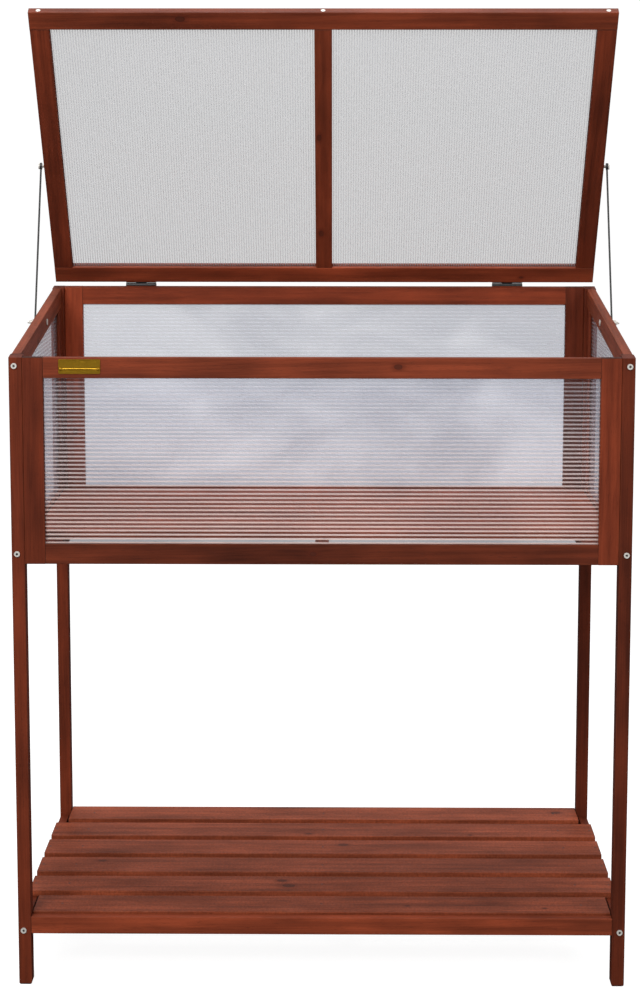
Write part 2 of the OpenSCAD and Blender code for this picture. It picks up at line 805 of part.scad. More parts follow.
front_left_leg();
front_right_leg();
rear_left_leg();
rear_right_leg();
front_top_rail();
front_bottom_rail();
front_left_stile();
front_right_stile();
front_glazing();
rear_top_rail();
rear_bottom_rail();
rear_left_stile();
rear_right_stile();
rear_glazing();
left_top_rail();
left_bottom_rail();
left_front_stile();
left_rear_stile();
left_glazing();
right_top_rail();
right_bottom_rail();
right_front_stile();
right_rear_stile();
right_glazing();
floor_bearers();
floor_boards();
shelf_left_rail();
shelf_right_rail();
shelf_front_rail();
shelf_rear_rail();
shelf_battens();
shelf_slat_1();
shelf_slat_2();
shelf_slat_3();
shelf_slat_4();
shelf_slat_5();
shelf_slat_6();
lid_front_rail();
lid_rear_rail();
lid_left_stile();
lid_right_stile();
lid_mullion();
lid_left_glazing();
lid_right_glazing();
hinge_frame_leaves();
hinge_lid_leaves();
hinge_pins();
left_stay();
right_stay();
left_wing_nut();
right_wing_nut();
stay_bolts();
stay_pivot_screws();
leg_bolts();
hinge_frame_screws();
hinge_lid_screws();
lid_frame_screws();
name_plate();
deck_nails();
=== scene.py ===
import json
import math
import random

import bmesh
import bpy
import numpy as np
from mathutils import Matrix, Vector


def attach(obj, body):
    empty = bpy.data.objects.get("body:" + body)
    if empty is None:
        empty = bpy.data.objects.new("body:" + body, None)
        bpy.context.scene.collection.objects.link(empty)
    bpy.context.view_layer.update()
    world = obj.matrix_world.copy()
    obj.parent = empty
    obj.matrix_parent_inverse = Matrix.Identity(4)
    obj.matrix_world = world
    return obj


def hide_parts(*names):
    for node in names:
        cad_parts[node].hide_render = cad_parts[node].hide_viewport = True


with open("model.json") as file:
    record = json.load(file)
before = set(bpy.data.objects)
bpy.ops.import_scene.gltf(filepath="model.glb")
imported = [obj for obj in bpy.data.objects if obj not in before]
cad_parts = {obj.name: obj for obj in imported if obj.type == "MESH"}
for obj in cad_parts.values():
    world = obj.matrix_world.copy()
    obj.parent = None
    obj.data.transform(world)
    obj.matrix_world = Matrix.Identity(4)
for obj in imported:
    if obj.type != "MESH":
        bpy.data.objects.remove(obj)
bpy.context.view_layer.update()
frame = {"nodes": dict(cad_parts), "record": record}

MM = 0.001
SLOT_OF = {part["node"]: part["material_slot"] for part in frame["record"]["subparts"]}
BODY_OF = {
    node: body
    for body, nodes in frame["record"]["behaviour"]["bodies"].items()
    for node in nodes
}

# ---------------------------------------------------------------- node trees


def grey(value):
    return (value, value, value, 1.0)


def opaque(colour):
    return (*colour, 1.0)


class Graph:
    """Short calls that build the node tree of a material or a world."""

    def __init__(self, owner):
        owner.use_nodes = True
        self.owner = owner
        self.tree = owner.node_tree
        self.tree.nodes.clear()

    def add(self, kind, inputs=(), **settings):
        node = self.tree.nodes.new(kind)
        for key, value in settings.items():
            setattr(node, key, value)
        for key, value in dict(inputs).items():
            if isinstance(value, bpy.types.NodeSocket):
                self.tree.links.new(value, node.inputs[key])
            else:
                node.inputs[key].default_value = value
        return node

    def math(self, operation, a, b=0.0, c=0.0):
        inputs = {0: a, 1: b, 2: c}
        return self.add("ShaderNodeMath", inputs, operation=operation).outputs[0]

    def attribute(self, name, output="Vector"):
        return self.add("ShaderNodeAttribute", attribute_name=name).outputs[output]

    def split(self, vector):
        return self.add("ShaderNodeSeparateXYZ", {0: vector}).outputs

    def join(self, x, y, z):
        return self.add("ShaderNodeCombineXYZ", {0: x, 1: y, 2: z}).outputs[0]

    def vector(self, operation, a, b=(0.0, 0.0, 0.0)):
        node = self.add("ShaderNodeVectorMath", {0: a, 1: b}, operation=operation)
        return node.outputs["Value" if operation == "LENGTH" else "Vector"]

    def scale(self, vector, factor):
        inputs = {0: vector, "Scale": factor}
        return self.add("ShaderNodeVectorMath", inputs, operation="SCALE").outputs["Vector"]

    def noise(self, vector, scale=1.0, detail=2.0, roughness=0.5, distortion=0.0):
        inputs = {
            "Vector": vector,
            "Scale": scale,
            "Detail": detail,
            "Roughness": roughness,
            "Distortion": distortion,
        }
        return self.add("ShaderNodeTexNoise", inputs).outputs["Fac"]

    def remap(self, value, low, high, to_low=0.0, to_high=1.0, smooth=False):
        inputs = {0: value, 1: low, 2: high, 3: to_low, 4: to_high}
        kind = "SMOOTHSTEP" if smooth else "LINEAR"
        return self.add("ShaderNodeMapRange", inputs, interpolation_type=kind).outputs[0]

    def mix(self, factor, a, b):
        inputs = {0: factor, 6: a, 7: b}
        return self.add("ShaderNodeMix", inputs, data_type="RGBA").outputs[2]

    def mix_shaders(self, factor, a, b):
        return self.add("ShaderNodeMixShader", {0: factor, 1: a, 2: b}).outputs[0]

    def bump(self, height, distance, strength):
        inputs = {"Height": height, "Distance": distance, "Strength": strength}
        return self.add("ShaderNodeBump", inputs).outputs[0]

    def finish(self, shader):
        is_world = isinstance(self.owner, bpy.types.World)
        self.add("ShaderNodeOutputWorld" if is_world else "ShaderNodeOutputMaterial", {"Surface": shader})
        return self.owner


def new_material(name):
    return Graph(bpy.data.materials.new(name))


# ---------------------------------------------------------------- stained timber

# Stain colours, linear: the wood between the rings, the rings, and the worn edges
STAINS = {
    "stained_wood_dark": ((0.128, 0.0225, 0.0080), (0.066, 0.0090, 0.0035), (0.150, 0.036, 0.016)),
    "stained_wood_mid": ((0.152, 0.0290, 0.0110), (0.080, 0.0120, 0.0048), (0.180, 0.046, 0.021)),
    "stained_wood_light": ((0.170, 0.0370, 0.0150), (0.095, 0.0165, 0.0068), (0.200, 0.056, 0.027)),
}
PORE_COLOUR = (0.018, 0.005, 0.003)
HEART_COLOUR = (0.060, 0.014, 0.007)
BARK_COLOUR = (0.030, 0.0075, 0.0045)
END_COLOURS = ((0.055, 0.030, 0.024), (0.020, 0.009, 0.007))

# Each noise in the grain: waves a metre along, across and through the board, octaves, roughness
GRAIN_NOISE = {
    "wander": ((3.5, 26.0, 26.0), 2.0, 0.5),
    "fibre": ((14.0, 720.0, 720.0), 3.0, 0.6),
    "streak": ((4.0, 95.0, 95.0), 3.0, 0.55),
    "pore": ((85.0, 1900.0, 1900.0), 1.0, 0.5),
    "blotch": ((6.5, 17.0, 17.0), 2.5, 0.6),
    "rub": ((30.0, 300.0, 300.0), 2.0, 0.5),
    "end_grain": ((500.0, 900.0, 900.0), 2.0, 0.5),
    "fuzz": ((300.0, 190.0, 190.0), 2.0, 0.6),
}
# How much the fuzz of rough-sawn faces varies the stain
FUZZ = {"stained_wood_light": 0.20}
GRAIN_SHIFT = 5.0
RING_SPACING = 3.2 * MM
LATE_WOOD_POWER = 2.6
# The pith lies this far behind the board at least, and up to that much more
PITH_DEPTH = 22 * MM
PITH_SPREAD = 50 * MM
PITH_SIDEWAYS = 70 * MM
PITH_DRIFT = 0.035
RING_WANDER = 16 * MM
KNOT_PUSH = 6 * MM
KNOT_STRETCH = 0.62
BARK_RADIUS = 0.93
GRAIN_RELIEF = 0.14 * MM


def grain_noise(g, grain, name):
    waves, octaves, roughness = GRAIN_NOISE[name]
    return g.noise(g.vector("MULTIPLY", grain, waves), detail=octaves, roughness=roughness)


def knot_field(g, board, knot):
    """Distance from a knot, in knot radii, over the face of the board."""
    along, across, _ = g.split(board)
    knot_along, knot_across, radius = g.split(g.attribute(knot))
    du = g.math("MULTIPLY", g.math("SUBTRACT", along, knot_along), KNOT_STRETCH)
    dv = g.math("SUBTRACT", across, knot_across)
    return g.math("DIVIDE", g.vector("LENGTH", g.join(du, dv, 0.0)), radius)


def late_wood(g, board, grain, tone, nearest_knot):
    """Dark rings round a pith that lies behind the board, drifts along it and bends round knots."""
    along, across, through = g.split(board)
    push = g.math("MULTIPLY", nearest_knot, nearest_knot)
    push = g.math("DIVIDE", 1.0, g.math("ADD", push, 0.7))
    pith_v = g.math("MULTIPLY", g.math("SUBTRACT", tone[0], 0.5), PITH_SIDEWAYS)
    pith_w = g.math("MULTIPLY_ADD", tone[1], -PITH_SPREAD, -PITH_DEPTH)
    drift = g.math("MULTIPLY", along, PITH_DRIFT)
    dv = g.math("SUBTRACT", g.math("SUBTRACT", across, pith_v), drift)
    dw = g.math("SUBTRACT", through, pith_w)
    radius = g.vector("LENGTH", g.join(dv, dw, 0.0))
    radius = g.math("ADD", radius, g.math("MULTIPLY", grain_noise(g, grain, "wander"), RING_WANDER))
    radius = g.math("ADD", radius, g.math("MULTIPLY", push, KNOT_PUSH))
    ring = g.math("FRACT", g.math("DIVIDE", radius, RING_SPACING))
    late = g.math("POWER", ring, LATE_WOOD_POWER)
    return g.math("SUBTRACT", late, g.remap(ring, 0.90, 1.0, smooth=True))


def add_knots(g, colour, nearest_knot, bark, ring_colour):
    """Knots: a dark heart with a darker bark line round it, in a soft halo."""
    heart = g.remap(nearest_knot, 0.75, 1.0, 1.0, 0.0, smooth=True)
    halo = g.remap(nearest_knot, 0.9, 2.6, 0.5, 0.0, smooth=True)
    colour = g.mix(halo, colour, ring_colour)
    colour = g.mix(g.math("MULTIPLY", heart, 0.7), colour, opaque(HEART_COLOUR))
    return g.mix(g.math("MULTIPLY", bark, 0.75), colour, opaque(BARK_COLOUR))


def add_wear(g, colour, grain, gap_to_edge, worn_colour):
    """Long edges where the stain is partly rubbed off."""
    rub = g.remap(grain_noise(g, grain, "rub"), 0.42, 0.66, smooth=True)
    worn = g.remap(gap_to_edge, 0.5 * MM, 2.2 * MM, 1.0, 0.0, smooth=True)
    worn = g.math("MULTIPLY", g.math("MULTIPLY_ADD", rub, 0.45, 0.05), worn)
    return g.mix(worn, colour, worn_colour)


def wood_material(slot):
    """Satin stain over softwood: rings, fibres, pores, knots, blotches, worn edges, end grain."""
    g = new_material(slot)
    body, ring_colour, worn_colour = [opaque(colour) for colour in STAINS[slot]]
    board = g.attribute("board")
    tone_vector = g.attribute("tone")
    tone = g.split(tone_vector)
    grain = g.vector("ADD", board, g.scale(tone_vector, GRAIN_SHIFT))
    nearest_knot = g.math("MINIMUM", knot_field(g, board, "knot_a"), knot_field(g, board, "knot_b"))

    late = late_wood(g, board, grain, tone, nearest_knot)
    fibre = grain_noise(g, grain, "fibre")
    blotch = grain_noise(g, grain, "blotch")
    pore = g.remap(grain_noise(g, grain, "pore"), 0.66, 0.74, smooth=True)
    bark = g.math("ABSOLUTE", g.math("SUBTRACT", nearest_knot, BARK_RADIUS))
    bark = g.remap(bark, 0.0, 0.16, 1.0, 0.0, smooth=True)

    late_share = g.math("MULTIPLY", late, g.remap(blotch, 0.3, 0.75, 0.10, 0.55))
    colour = g.mix(late_share, body, ring_colour)
    colour = g.mix(g.remap(fibre, 0.35, 0.75, 0.0, 0.34), colour, ring_colour)
    streak = g.math("SUBTRACT", grain_noise(g, grain, "streak"), 0.5)
    gain = g.math("MULTIPLY_ADD", streak, 1.5, 1.06)
    gain = g.math("MULTIPLY", gain, g.remap(blotch, 0.25, 0.8, 1.42, 0.62))
    if slot in FUZZ:
        fuzz = g.remap(grain_noise(g, grain, "fuzz"), 0.3, 0.7, 1.0 - FUZZ[slot], 1.0 + FUZZ[slot])
        gain = g.math("MULTIPLY", gain, fuzz)
    # The board's brightness, partly its stain and partly painted light, scales the colour
    colour = g.scale(colour, g.math("MULTIPLY", gain, tone[2]))
    colour = g.mix(g.math("MULTIPLY", pore, 0.5), colour, opaque(PORE_COLOUR))
    colour = add_knots(g, colour, nearest_knot, bark, ring_colour)

    gap = g.vector("SUBTRACT", g.attribute("half"), g.vector("ABSOLUTE", board))
    gap_l, gap_w, gap_t = g.split(gap)
    colour = add_wear(g, colour, grain, g.math("ADD", gap_w, gap_t), worn_colour)
    end = g.remap(gap_l, 0.1 * MM, 0.7 * MM, 1.0, 0.0, smooth=True)
    end_colour = g.mix(grain_noise(g, grain, "end_grain"), *[opaque(c) for c in END_COLOURS])
    colour = g.mix(g.math("MULTIPLY", end, 0.85), colour, end_colour)

    rough = g.math("MULTIPLY_ADD", fibre, 0.22, 0.40)
    rough = g.math("MULTIPLY_ADD", blotch, 0.12, rough)
    rough = g.math("MULTIPLY_ADD", end, 0.25, rough)
    relief = g.math("MULTIPLY_ADD", late, 0.35, fibre)
    relief = g.math("SUBTRACT", relief, g.math("MULTIPLY", pore, 0.6))
    relief = g.math("SUBTRACT", relief, g.math("MULTIPLY", bark, 0.5))
    inputs = {
        "Base Color": colour,
        "Roughness": rough,
        "Specular IOR Level": 0.12,
        "Normal": g.bump(relief, GRAIN_RELIEF, 0.8),
    }
    return g.finish(g.add("ShaderNodeBsdfPrincipled", inputs).outputs[0])


# ---------------------------------------------------------------- board shapes


def centre_of(group):
    return sum((v.co for v in group), Vector()) / len(group)


def solids_of(bm):
    """The separate solids of a mesh, as lists of vertices, from left to right and front to back."""
    left, groups = set(bm.verts), []
    while left:
        stack, group = [left.pop()], []
        while stack:
            vert = stack.pop()
            group.append(vert)
            for edge in vert.link_edges:
                other = edge.other_vert(vert)
                if other in left:
                    left.remove(other)
                    stack.append(other)
        groups.append(group)
    return sorted(groups, key=lambda group: tuple(round(x, 4) for x in centre_of(group)))


class Board:
    """A solid's own box: its length, width and thickness axes, its centre and half sizes on them."""

    def __init__(self, points):
        points = np.array(points, float)
        tenths = (math.radians(k / 10) for k in range(900))
        angle = min(tenths, key=lambda a: self.area(points, a))
        c, s = math.cos(angle), math.sin(angle)
        axes = np.array([[1, 0, 0], [0, c, s], [0, -s, c]])
        local = points @ axes.T
        low, high = local.min(0), local.max(0)
        order = np.argsort(low - high, kind="stable")
        self.axes = axes[order]
        self.half = ((high - low) / 2)[order]
        self.centre = ((high + low) / 2)[order]

    @staticmethod
    def area(points, angle):
        c, s = math.cos(angle), math.sin(angle)
        y = points[:, 1] * c + points[:, 2] * s
        z = points[:, 2] * c - points[:, 1] * s
        return np.ptp(y) * np.ptp(z)

    def local(self, co):
        return Vector(self.axes @ np.array(co) - self.centre)

    def place(self):
        """Matrix from the board's own axes to the frame."""
        turn = Matrix(self.axes.T.tolist())
        return Matrix.Translation(turn @ Vector(self.centre)) @ turn.to_4x4()


def end_edges(group, board):
    """The outer edges round the two ends of a board."""
    length = Vector(board.axes[0])
    found = []
    for edge in sorted({e for v in group for e in v.link_edges}, key=lambda e: e.index):
        if len(edge.link_faces) != 2 or edge.calc_face_angle(0) < math.radians(60):
            continue
        leans = sorted(abs(f.normal @ length) for f in edge.link_faces)
        middle = board.local((edge.verts[0].co + edge.verts[1].co) / 2)
        outer = [board.half[k] - abs(middle[k]) < 2 * MM for k in (1, 2)]
        if leans[0] < 0.3 and leans[1] > 0.9 and any(outer):
            found.append(edge)
    return found


# Boards with no knots
CLEAR_BOARDS = (
    "front_left_leg",
    "front_right_leg",
    "front_left_stile",
    "front_right_stile",
    "lid_left_stile",
    "lid_right_stile",
    "shelf_front_rail",
)
# Knots that show, by board: how far along it and across it from its middle, and the radius, in mm
KNOTS = {
    "front_top_rail": [(110, 2, 3.6)],
    "lid_front_rail": [(-217, 4, 4.5)],
    "shelf_slat_2": [(-51, -8, 6), (-62, 14, 4.5)],
    "shelf_slat_4": [(33, 10, 5)],
    "shelf_slat_6": [(395, 6, 5)],
}
# A knot this far away shows nowhere
FAR_KNOT = (10.0, 10.0, 0.01)
# Boards made darker or lighter than the rest of their colour: partly the stain's own spread, partly
# painted light and shade, such as the left legs lighter than the right ones, and the floor boards, the
# shelf and the rear left stile lighter where light falls on them
TONES_AND_PAINTED_LIGHT = {
    "front_left_leg": 0.96,
    "front_right_leg": 0.70,
    "front_left_stile": 0.84,
    "front_right_stile": 1.24,
    "front_bottom_rail": 0.62,
    "front_top_rail": 1.08,
    "rear_top_rail": 1.26,
    "rear_left_stile": 1.85,
    "rear_right_stile": 0.78,
    "floor_boards": 1.45,
    "rear_left_leg": 1.04,
    "rear_right_leg": 0.84,
    "lid_left_stile": 1.05,
    "lid_right_stile": 0.79,
    "lid_rear_rail": 1.20,
    "lid_mullion": 0.99,
    "shelf_front_rail": 1.30,
    "shelf_slat_1": 1.12,
    "shelf_slat_2": 1.16,
    "shelf_slat_3": 1.12,
    "shelf_slat_4": 1.22,
    "shelf_slat_5": 1.16,
    "shelf_slat_6": 1.24,
}
BOARD_LAYERS = ("board", "half", "tone", "knot_a", "knot_b")


def knots_of(node, index, board, rng):
    """Two knots for a board: those named for it, or ones that fall on about half of the boards."""
    knots = [tuple(x * MM for x in knot) for knot in KNOTS.get(node, []) if index == 0]
    if node in KNOTS or node in CLEAR_BOARDS:
        return knots + [FAR_KNOT] * (2 - len(knots))
    while len(knots) < 2:
        along = rng.uniform(-0.9, 0.9) * board.half[0]
        across = rng.uniform(-0.8, 0.8) * board.half[1]
        size = rng.uniform(1.8, 4.0) * MM
        knots.append((along, across, size) if rng.random() < 0.5 else FAR_KNOT)
    return knots


def write_board_layers(bm, node):
    """Stores each vertex's place in its board, and the board's size, tone and knots, for the stain."""
    layers = [bm.verts.layers.float_vector.new(name) for name in BOARD_LAYERS]
    for index, group in enumerate(solids_of(bm)):
        board = Board([v.co for v in group])
        rng = random.Random(f"{node}:{index}")
        # The third value is the board's brightness: its stain and, on listed boards, painted light and
        # shade
        tone = (rng.random(), rng.random(), TONES_AND_PAINTED_LIGHT.get(node, rng.uniform(0.88, 1.12)))
        knots = knots_of(node, index, board, rng)
        for vert in group:
            for layer, value in zip(layers, (board.local(vert.co), board.half, tone, *knots)):
                vert[layer] = value


def add_object(name, bm, material, sharp_angle=40.0):
    mesh = bpy.data.meshes.new(name)
    bm.to_mesh(mesh)
    bm.free()
    mesh.polygons.foreach_set("use_smooth", [True] * len(mesh.polygons))
    mesh.set_sharp_from_angle(angle=math.radians(sharp_angle))
    mesh.materials.append(material)
    obj = bpy.data.objects.new(name, mesh)
    bpy.context.scene.collection.objects.link(obj)
    return obj


def stand_for(obj, node):
    """The piece stands for a CAD node and rides on that node's body."""
    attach(obj, BODY_OF[node])
    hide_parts(node)


END_ROUNDING = 0.6 * MM


def timber(node, material):
    """The CAD board with its flat faces whole again, its ends eased and its grain laid out."""
    bm = bmesh.new()
    bm.from_mesh(frame["nodes"][node].data)
    bmesh.ops.remove_doubles(bm, verts=bm.verts, dist=0.01 * MM)
    bmesh.ops.dissolve_limit(bm, angle_limit=math.radians(0.5), verts=bm.verts, edges=bm.edges)
    bm.normal_update()
    bm.edges.index_update()
    edges = []
    for group in solids_of(bm):
        edges += end_edges(group, Board([v.co for v in group]))
    easing = {"offset": END_ROUNDING, "segments": 2, "profile": 0.5, "clamp_overlap": True}
    bmesh.ops.bevel(bm, geom=edges, affect="EDGES", **easing)
    write_board_layers(bm, node)
    obj = add_object(node + "_timber", bm, material)
    obj.modifiers.new("even_normals", "WEIGHTED_NORMAL").keep_sharp = True
    stand_for(obj, node)


# ---------------------------------------------------------------- twin-wall sheet

SKIN_T = 0.5 * MM
RIB_T = 0.55 * MM
FILLET = 0.75 * MM
# How far the middle of a fillet stays from its corner, as a share of its radius
FILLET_MIDDLE = 0.29
LID_PITCH = 4.0 * MM
PANEL_PITCH = 6.0 * MM
# Milky bands over the ribs: where they are solid and where they end, as shares of the pitch
BAND_EDGES = (0.08, 0.26)
COLD_RIB = Vector((0.93, 0.94, 1.0))
# Band colour with a painted warm reflection of the timber inside, for the front sheet
RIB_PAINTED_WOOD_GLOW = Vector((1.0, 0.80, 0.73))
LID_RIB = 0.66 * COLD_RIB
# How milky the bands are. The front sheet's change from its bottom to its top is painted light: the
# milkier bands low down are painted light drawn through the ribs, and their warm colour is a painted
# reflection of the timber inside.
LID_MILK = 0.22
PANEL_MILK = 0.20
FRONT_MILK_AND_PAINTED_LIGHT = (0.38, 0.08)
FRONT_PAINTED_GLOW = (1.15, 0.30)


def soft_gloss(g, outer):
    """Share of a blurred mirror, on the outer skins as seen from outside."""
    facing = g.math("SUBTRACT", 1.0, g.add("ShaderNodeNewGeometry").outputs["Backfacing"])
    mirror = g.add("ShaderNodeFresnel", {"IOR": 1.45}).outputs[0]
    return g.math("MULTIPLY", g.math("MULTIPLY", mirror, outer), facing)


def sheet_material():
    """Clear polycarbonate whose ribs show as milky lines, with a soft gloss and a fine sparkle."""
    g = new_material("twin_wall_sheet")
    board = g.attribute("board")
    cell = g.math("FRACT", g.attribute("flute", "Fac"))
    from_rib = g.math("SUBTRACT", 0.5, g.math("ABSOLUTE", g.math("SUBTRACT", cell, 0.5)))
    band = g.remap(from_rib, *BAND_EDGES, 1.0, 0.0, smooth=True)
    strength, cloudiness, outer = g.split(g.attribute("look"))
    cloud = g.noise(g.vector("MULTIPLY", board, (5.0, 8.0, 1.0)), detail=2.0, distortion=0.8)
    cloud = g.remap(cloud, 0.35, 0.65, smooth=True)
    sparkle = g.noise(g.vector("MULTIPLY", board, (700.0, 1300.0, 1.0)), detail=1.0)
    sparkle = g.remap(sparkle, 0.62, 0.72, smooth=True)

    milk = g.math("MULTIPLY_ADD", band, strength, 0.008)
    milk = g.math("MULTIPLY_ADD", sparkle, 0.03, milk)
    tint = g.mix(cloud, opaque((0.940, 0.945, 0.960)), opaque((0.985, 0.989, 1.0)))
    tint = g.mix(cloudiness, grey(1.0), tint)
    clear = g.add("ShaderNodeBsdfTransparent", {"Color": tint}).outputs[0]
    # Band colour; on the front sheet it holds a painted warm reflection of the timber inside
    white = g.attribute("rib_colour", "Color")
    back = g.add("ShaderNodeBsdfDiffuse", {"Color": white}).outputs[0]
    fore = g.add("ShaderNodeBsdfTranslucent", {"Color": white}).outputs[0]
    body = g.mix_shaders(milk, clear, g.mix_shaders(0.3, back, fore))
    gloss = g.add("ShaderNodeBsdfGlossy", {"Roughness": 0.16}).outputs[0]
    return g.finish(g.mix_shaders(soft_gloss(g, outer), body, gloss))


def cell_outlines(pitch, thick):
    """The 12 points of a flute's rounded hollow, and the 12 that match them on its outside."""
    a, b = (pitch - RIB_T) / 2, thick / 2 - SKIN_T
    arc = FILLET_MIDDLE * FILLET
    inside, outside = [], []
    for sx, sy in ((1, 1), (-1, 1), (-1, -1), (1, -1)):
        corner = [
            ((a, b - FILLET), (pitch / 2, b - FILLET)),
            ((a - arc, b - arc), (pitch / 2, thick / 2)),
            ((a - FILLET, b), (a - FILLET, thick / 2)),
        ]
        for inner, outer in corner if sx == sy else reversed(corner):
            inside.append((sx * inner[0], sy * inner[1]))
            outside.append((sx * outer[0], sy * outer[1]))
    return inside, outside


def fluted_sheet(board, count):
    """Two skins joined by ribs, with this many flutes running along the board's length."""
    half_l, half_w, half_t = board.half
    pitch = 2 * half_w / count
    inside, outside = cell_outlines(pitch, 2 * half_t)
    bm = bmesh.new()
    sides = len(inside)

    def ring(outline, length, offset):
        return [bm.verts.new((length, offset + x, y)) for x, y in outline]

    for k in range(count):
        offset = (k + 0.5) * pitch - half_w
        ends = [(ring(inside, x, offset), ring(outside, x, offset)) for x in (-half_l, half_l)]
        (inner_a, outer_a), (inner_b, outer_b) = ends
        for i in range(sides):
            n = (i + 1) % sides
            for inner, outer in ends:
                bm.faces.new((inner[i], inner[n], outer[n], outer[i]))
            bm.faces.new((inner_a[i], inner_a[n], inner_b[n], inner_b[i]))
            in_rib = abs(outside[i][0]) == abs(outside[n][0]) == pitch / 2
            is_edge = (k == 0 and outside[i][0] < 0) or (k == count - 1 and outside[i][0] > 0)
            if not in_rib or is_edge:
                bm.faces.new((outer_a[i], outer_a[n], outer_b[n], outer_b[i]))
    bmesh.ops.remove_doubles(bm, verts=bm.verts, dist=0.01 * MM)
    return bm


def cut_to_slope(bm, board, node):
    """Cuts a sheet along the sloping edge of its CAD solid, and closes the cut."""
    points = [board.local(v.co) for v in frame["nodes"][node].data.vertices]
    up = 1 if board.axes[1][2] > 0 else -1
    tops = [max(up * p.y for p in points if p.x * side > 0.98 * board.half[0]) for side in (-1, 1)]
    if abs(tops[0] - tops[1]) < 1 * MM:
        return
    start = Vector((-board.half[0], up * tops[0], 0))
    finish = Vector((board.half[0], up * tops[1], 0))
    normal = (finish - start).cross(Vector((0, 0, 1)))
    if normal.y * up < 0:
        normal = -normal
    geom = bm.verts[:] + bm.edges[:] + bm.faces[:]
    cut = bmesh.ops.bisect_plane(
        bm, geom=geom, dist=0.001 * MM, plane_co=start, plane_no=normal, clear_outer=True
    )
    edges = [e for e in cut["geom_cut"] if isinstance(e, bmesh.types.BMEdge)]
    bmesh.ops.triangle_fill(bm, edges=edges, use_beauty=True)


def between(ends, share):
    return ends[0] + (ends[1] - ends[0]) * share


def sheet_look(node, height):
    """How milky a sheet's bands are, its share of cloud, and its bands' colour, at a height of 0 to 1."""
    if BODY_OF[node] == "lid":
        return LID_MILK, 0.0, LID_RIB
    # Painted light: the front sheet's bands grow milkier and warmer towards the bottom
    if node == "front_glazing":
        glow_share = min(1.0, between(FRONT_PAINTED_GLOW, height))
        return between(FRONT_MILK_AND_PAINTED_LIGHT, height), 1.0, COLD_RIB.lerp(RIB_PAINTED_WOOD_GLOW, glow_share)
    return PANEL_MILK, 1.0, COLD_RIB


def write_sheet_layers(bm, board, node, pitch):
    """Stores each vertex's place in its sheet and its flute, and the sheet's look."""
    place, look, rib_colour = [
        bm.verts.layers.float_vector.new(name) for name in ("board", "look", "rib_colour")
    ]
    flute = bm.verts.layers.float.new("flute")
    up = 1 if board.axes[1][2] > 0 else -1
    for vert in bm.verts:
        height = 0.5 + 0.5 * up * vert.co.y / board.half[1]
        strength, cloudiness, colour = sheet_look(node, height)
        is_outer = abs(vert.co.z) > board.half[2] - 0.1 * MM
        vert[place] = vert.co
        vert[flute] = (vert.co.y + board.half[1]) / pitch
        vert[look] = (strength, cloudiness, 1.0 if is_outer else 0.0)
        vert[rib_colour] = colour


def sheet(node, nominal_pitch, material):
    """The sheet of a CAD node, with whole flutes across it."""
    board = Board([v.co for v in frame["nodes"][node].data.vertices])
    width = 2 * board.half[1]
    count = round(width / nominal_pitch)
    bm = fluted_sheet(board, count)
    cut_to_slope(bm, board, node)
    bmesh.ops.recalc_face_normals(bm, faces=bm.faces)
    write_sheet_layers(bm, board, node, width / count)
    bmesh.ops.transform(bm, matrix=board.place(), verts=bm.verts)
    if board.place().determinant() < 0:
        bmesh.ops.reverse_faces(bm, faces=bm.faces)
    stand_for(add_object(node + "_sheet", bm, material, 60.0), node)


# ---------------------------------------------------------------- metal

# Each metal: its colour, its worn colour, roughness, how metallic, and the scratches' waves a metre
METALS = {
    "zinc_plate": ((0.74, 0.71, 0.66), (0.50, 0.47, 0.43), 0.45, 0.35, (400.0, 900.0, 900.0)),
    "black_steel": ((0.022, 0.022, 0.024), (0.060, 0.058, 0.056), 0.46, 0.4, (300.0, 900.0, 500.0)),
    "brass_plate": ((0.52, 0.29, 0.018), (0.32, 0.17, 0.010), 0.30, 0.8, (120.0, 900.0, 1600.0)),
}
# Painted shade: the colour and reach of the darkening in the metal's recesses
PAINTED_RECESS_SHADE = (0.02, 0.018, 0.016)
PAINTED_SHADE_REACH = 4 * MM
METAL_RELIEF = 0.05 * MM


def metal_material(slot):
    """Metal with a mottled finish, fine scratches, rubbed spots and painted shade in its recesses."""
    colour, worn, rough, metallic, scratches = METALS[slot]
    g = new_material(slot)
    place = g.add("ShaderNodeTexCoord").outputs["Object"]
    mottle = g.noise(place, 260.0, 4.0, 0.6)
    grit = g.noise(place, 1900.0, 3.0, 0.6)
    scratch = g.noise(g.vector("MULTIPLY", place, scratches), 1.0, 2.0, 0.5, 0.4)
    scratch = g.remap(scratch, 0.56, 0.68, smooth=True)
    rub = g.remap(g.noise(place, 130.0, 3.0), 0.54, 0.70, smooth=True)
    colour = g.mix(g.remap(mottle, 0.3, 0.7, 0.0, 0.55), opaque(colour), opaque(worn))
    colour = g.mix(g.math("MULTIPLY", rub, 0.35), colour, opaque(worn))
    # Painted shade: the colour darkens where ambient occlusion finds a recess
    open_sky = g.add("ShaderNodeAmbientOcclusion", {"Distance": PAINTED_SHADE_REACH}, samples=8).outputs["AO"]
    colour = g.mix(g.remap(open_sky, 0.2, 0.8, 0.85, 0.0), colour, opaque(PAINTED_RECESS_SHADE))
    roughness = g.math("MULTIPLY_ADD", mottle, 0.22, rough - 0.08)
    roughness = g.math("MULTIPLY_ADD", scratch, 0.14, roughness)
    height = g.math("MULTIPLY_ADD", scratch, -0.7, grit)
    inputs = {
        "Base Color": colour,
        "Metallic": metallic,
        "Roughness": roughness,
        "Normal": g.bump(height, METAL_RELIEF, 0.7),
    }
    return g.finish(g.add("ShaderNodeBsdfPrincipled", inputs).outputs[0])


# ---------------------------------------------------------------- dress every node

woods = {slot: wood_material(slot) for slot in STAINS}
clear_sheet = sheet_material()
metals = {slot: metal_material(slot) for slot in METALS}

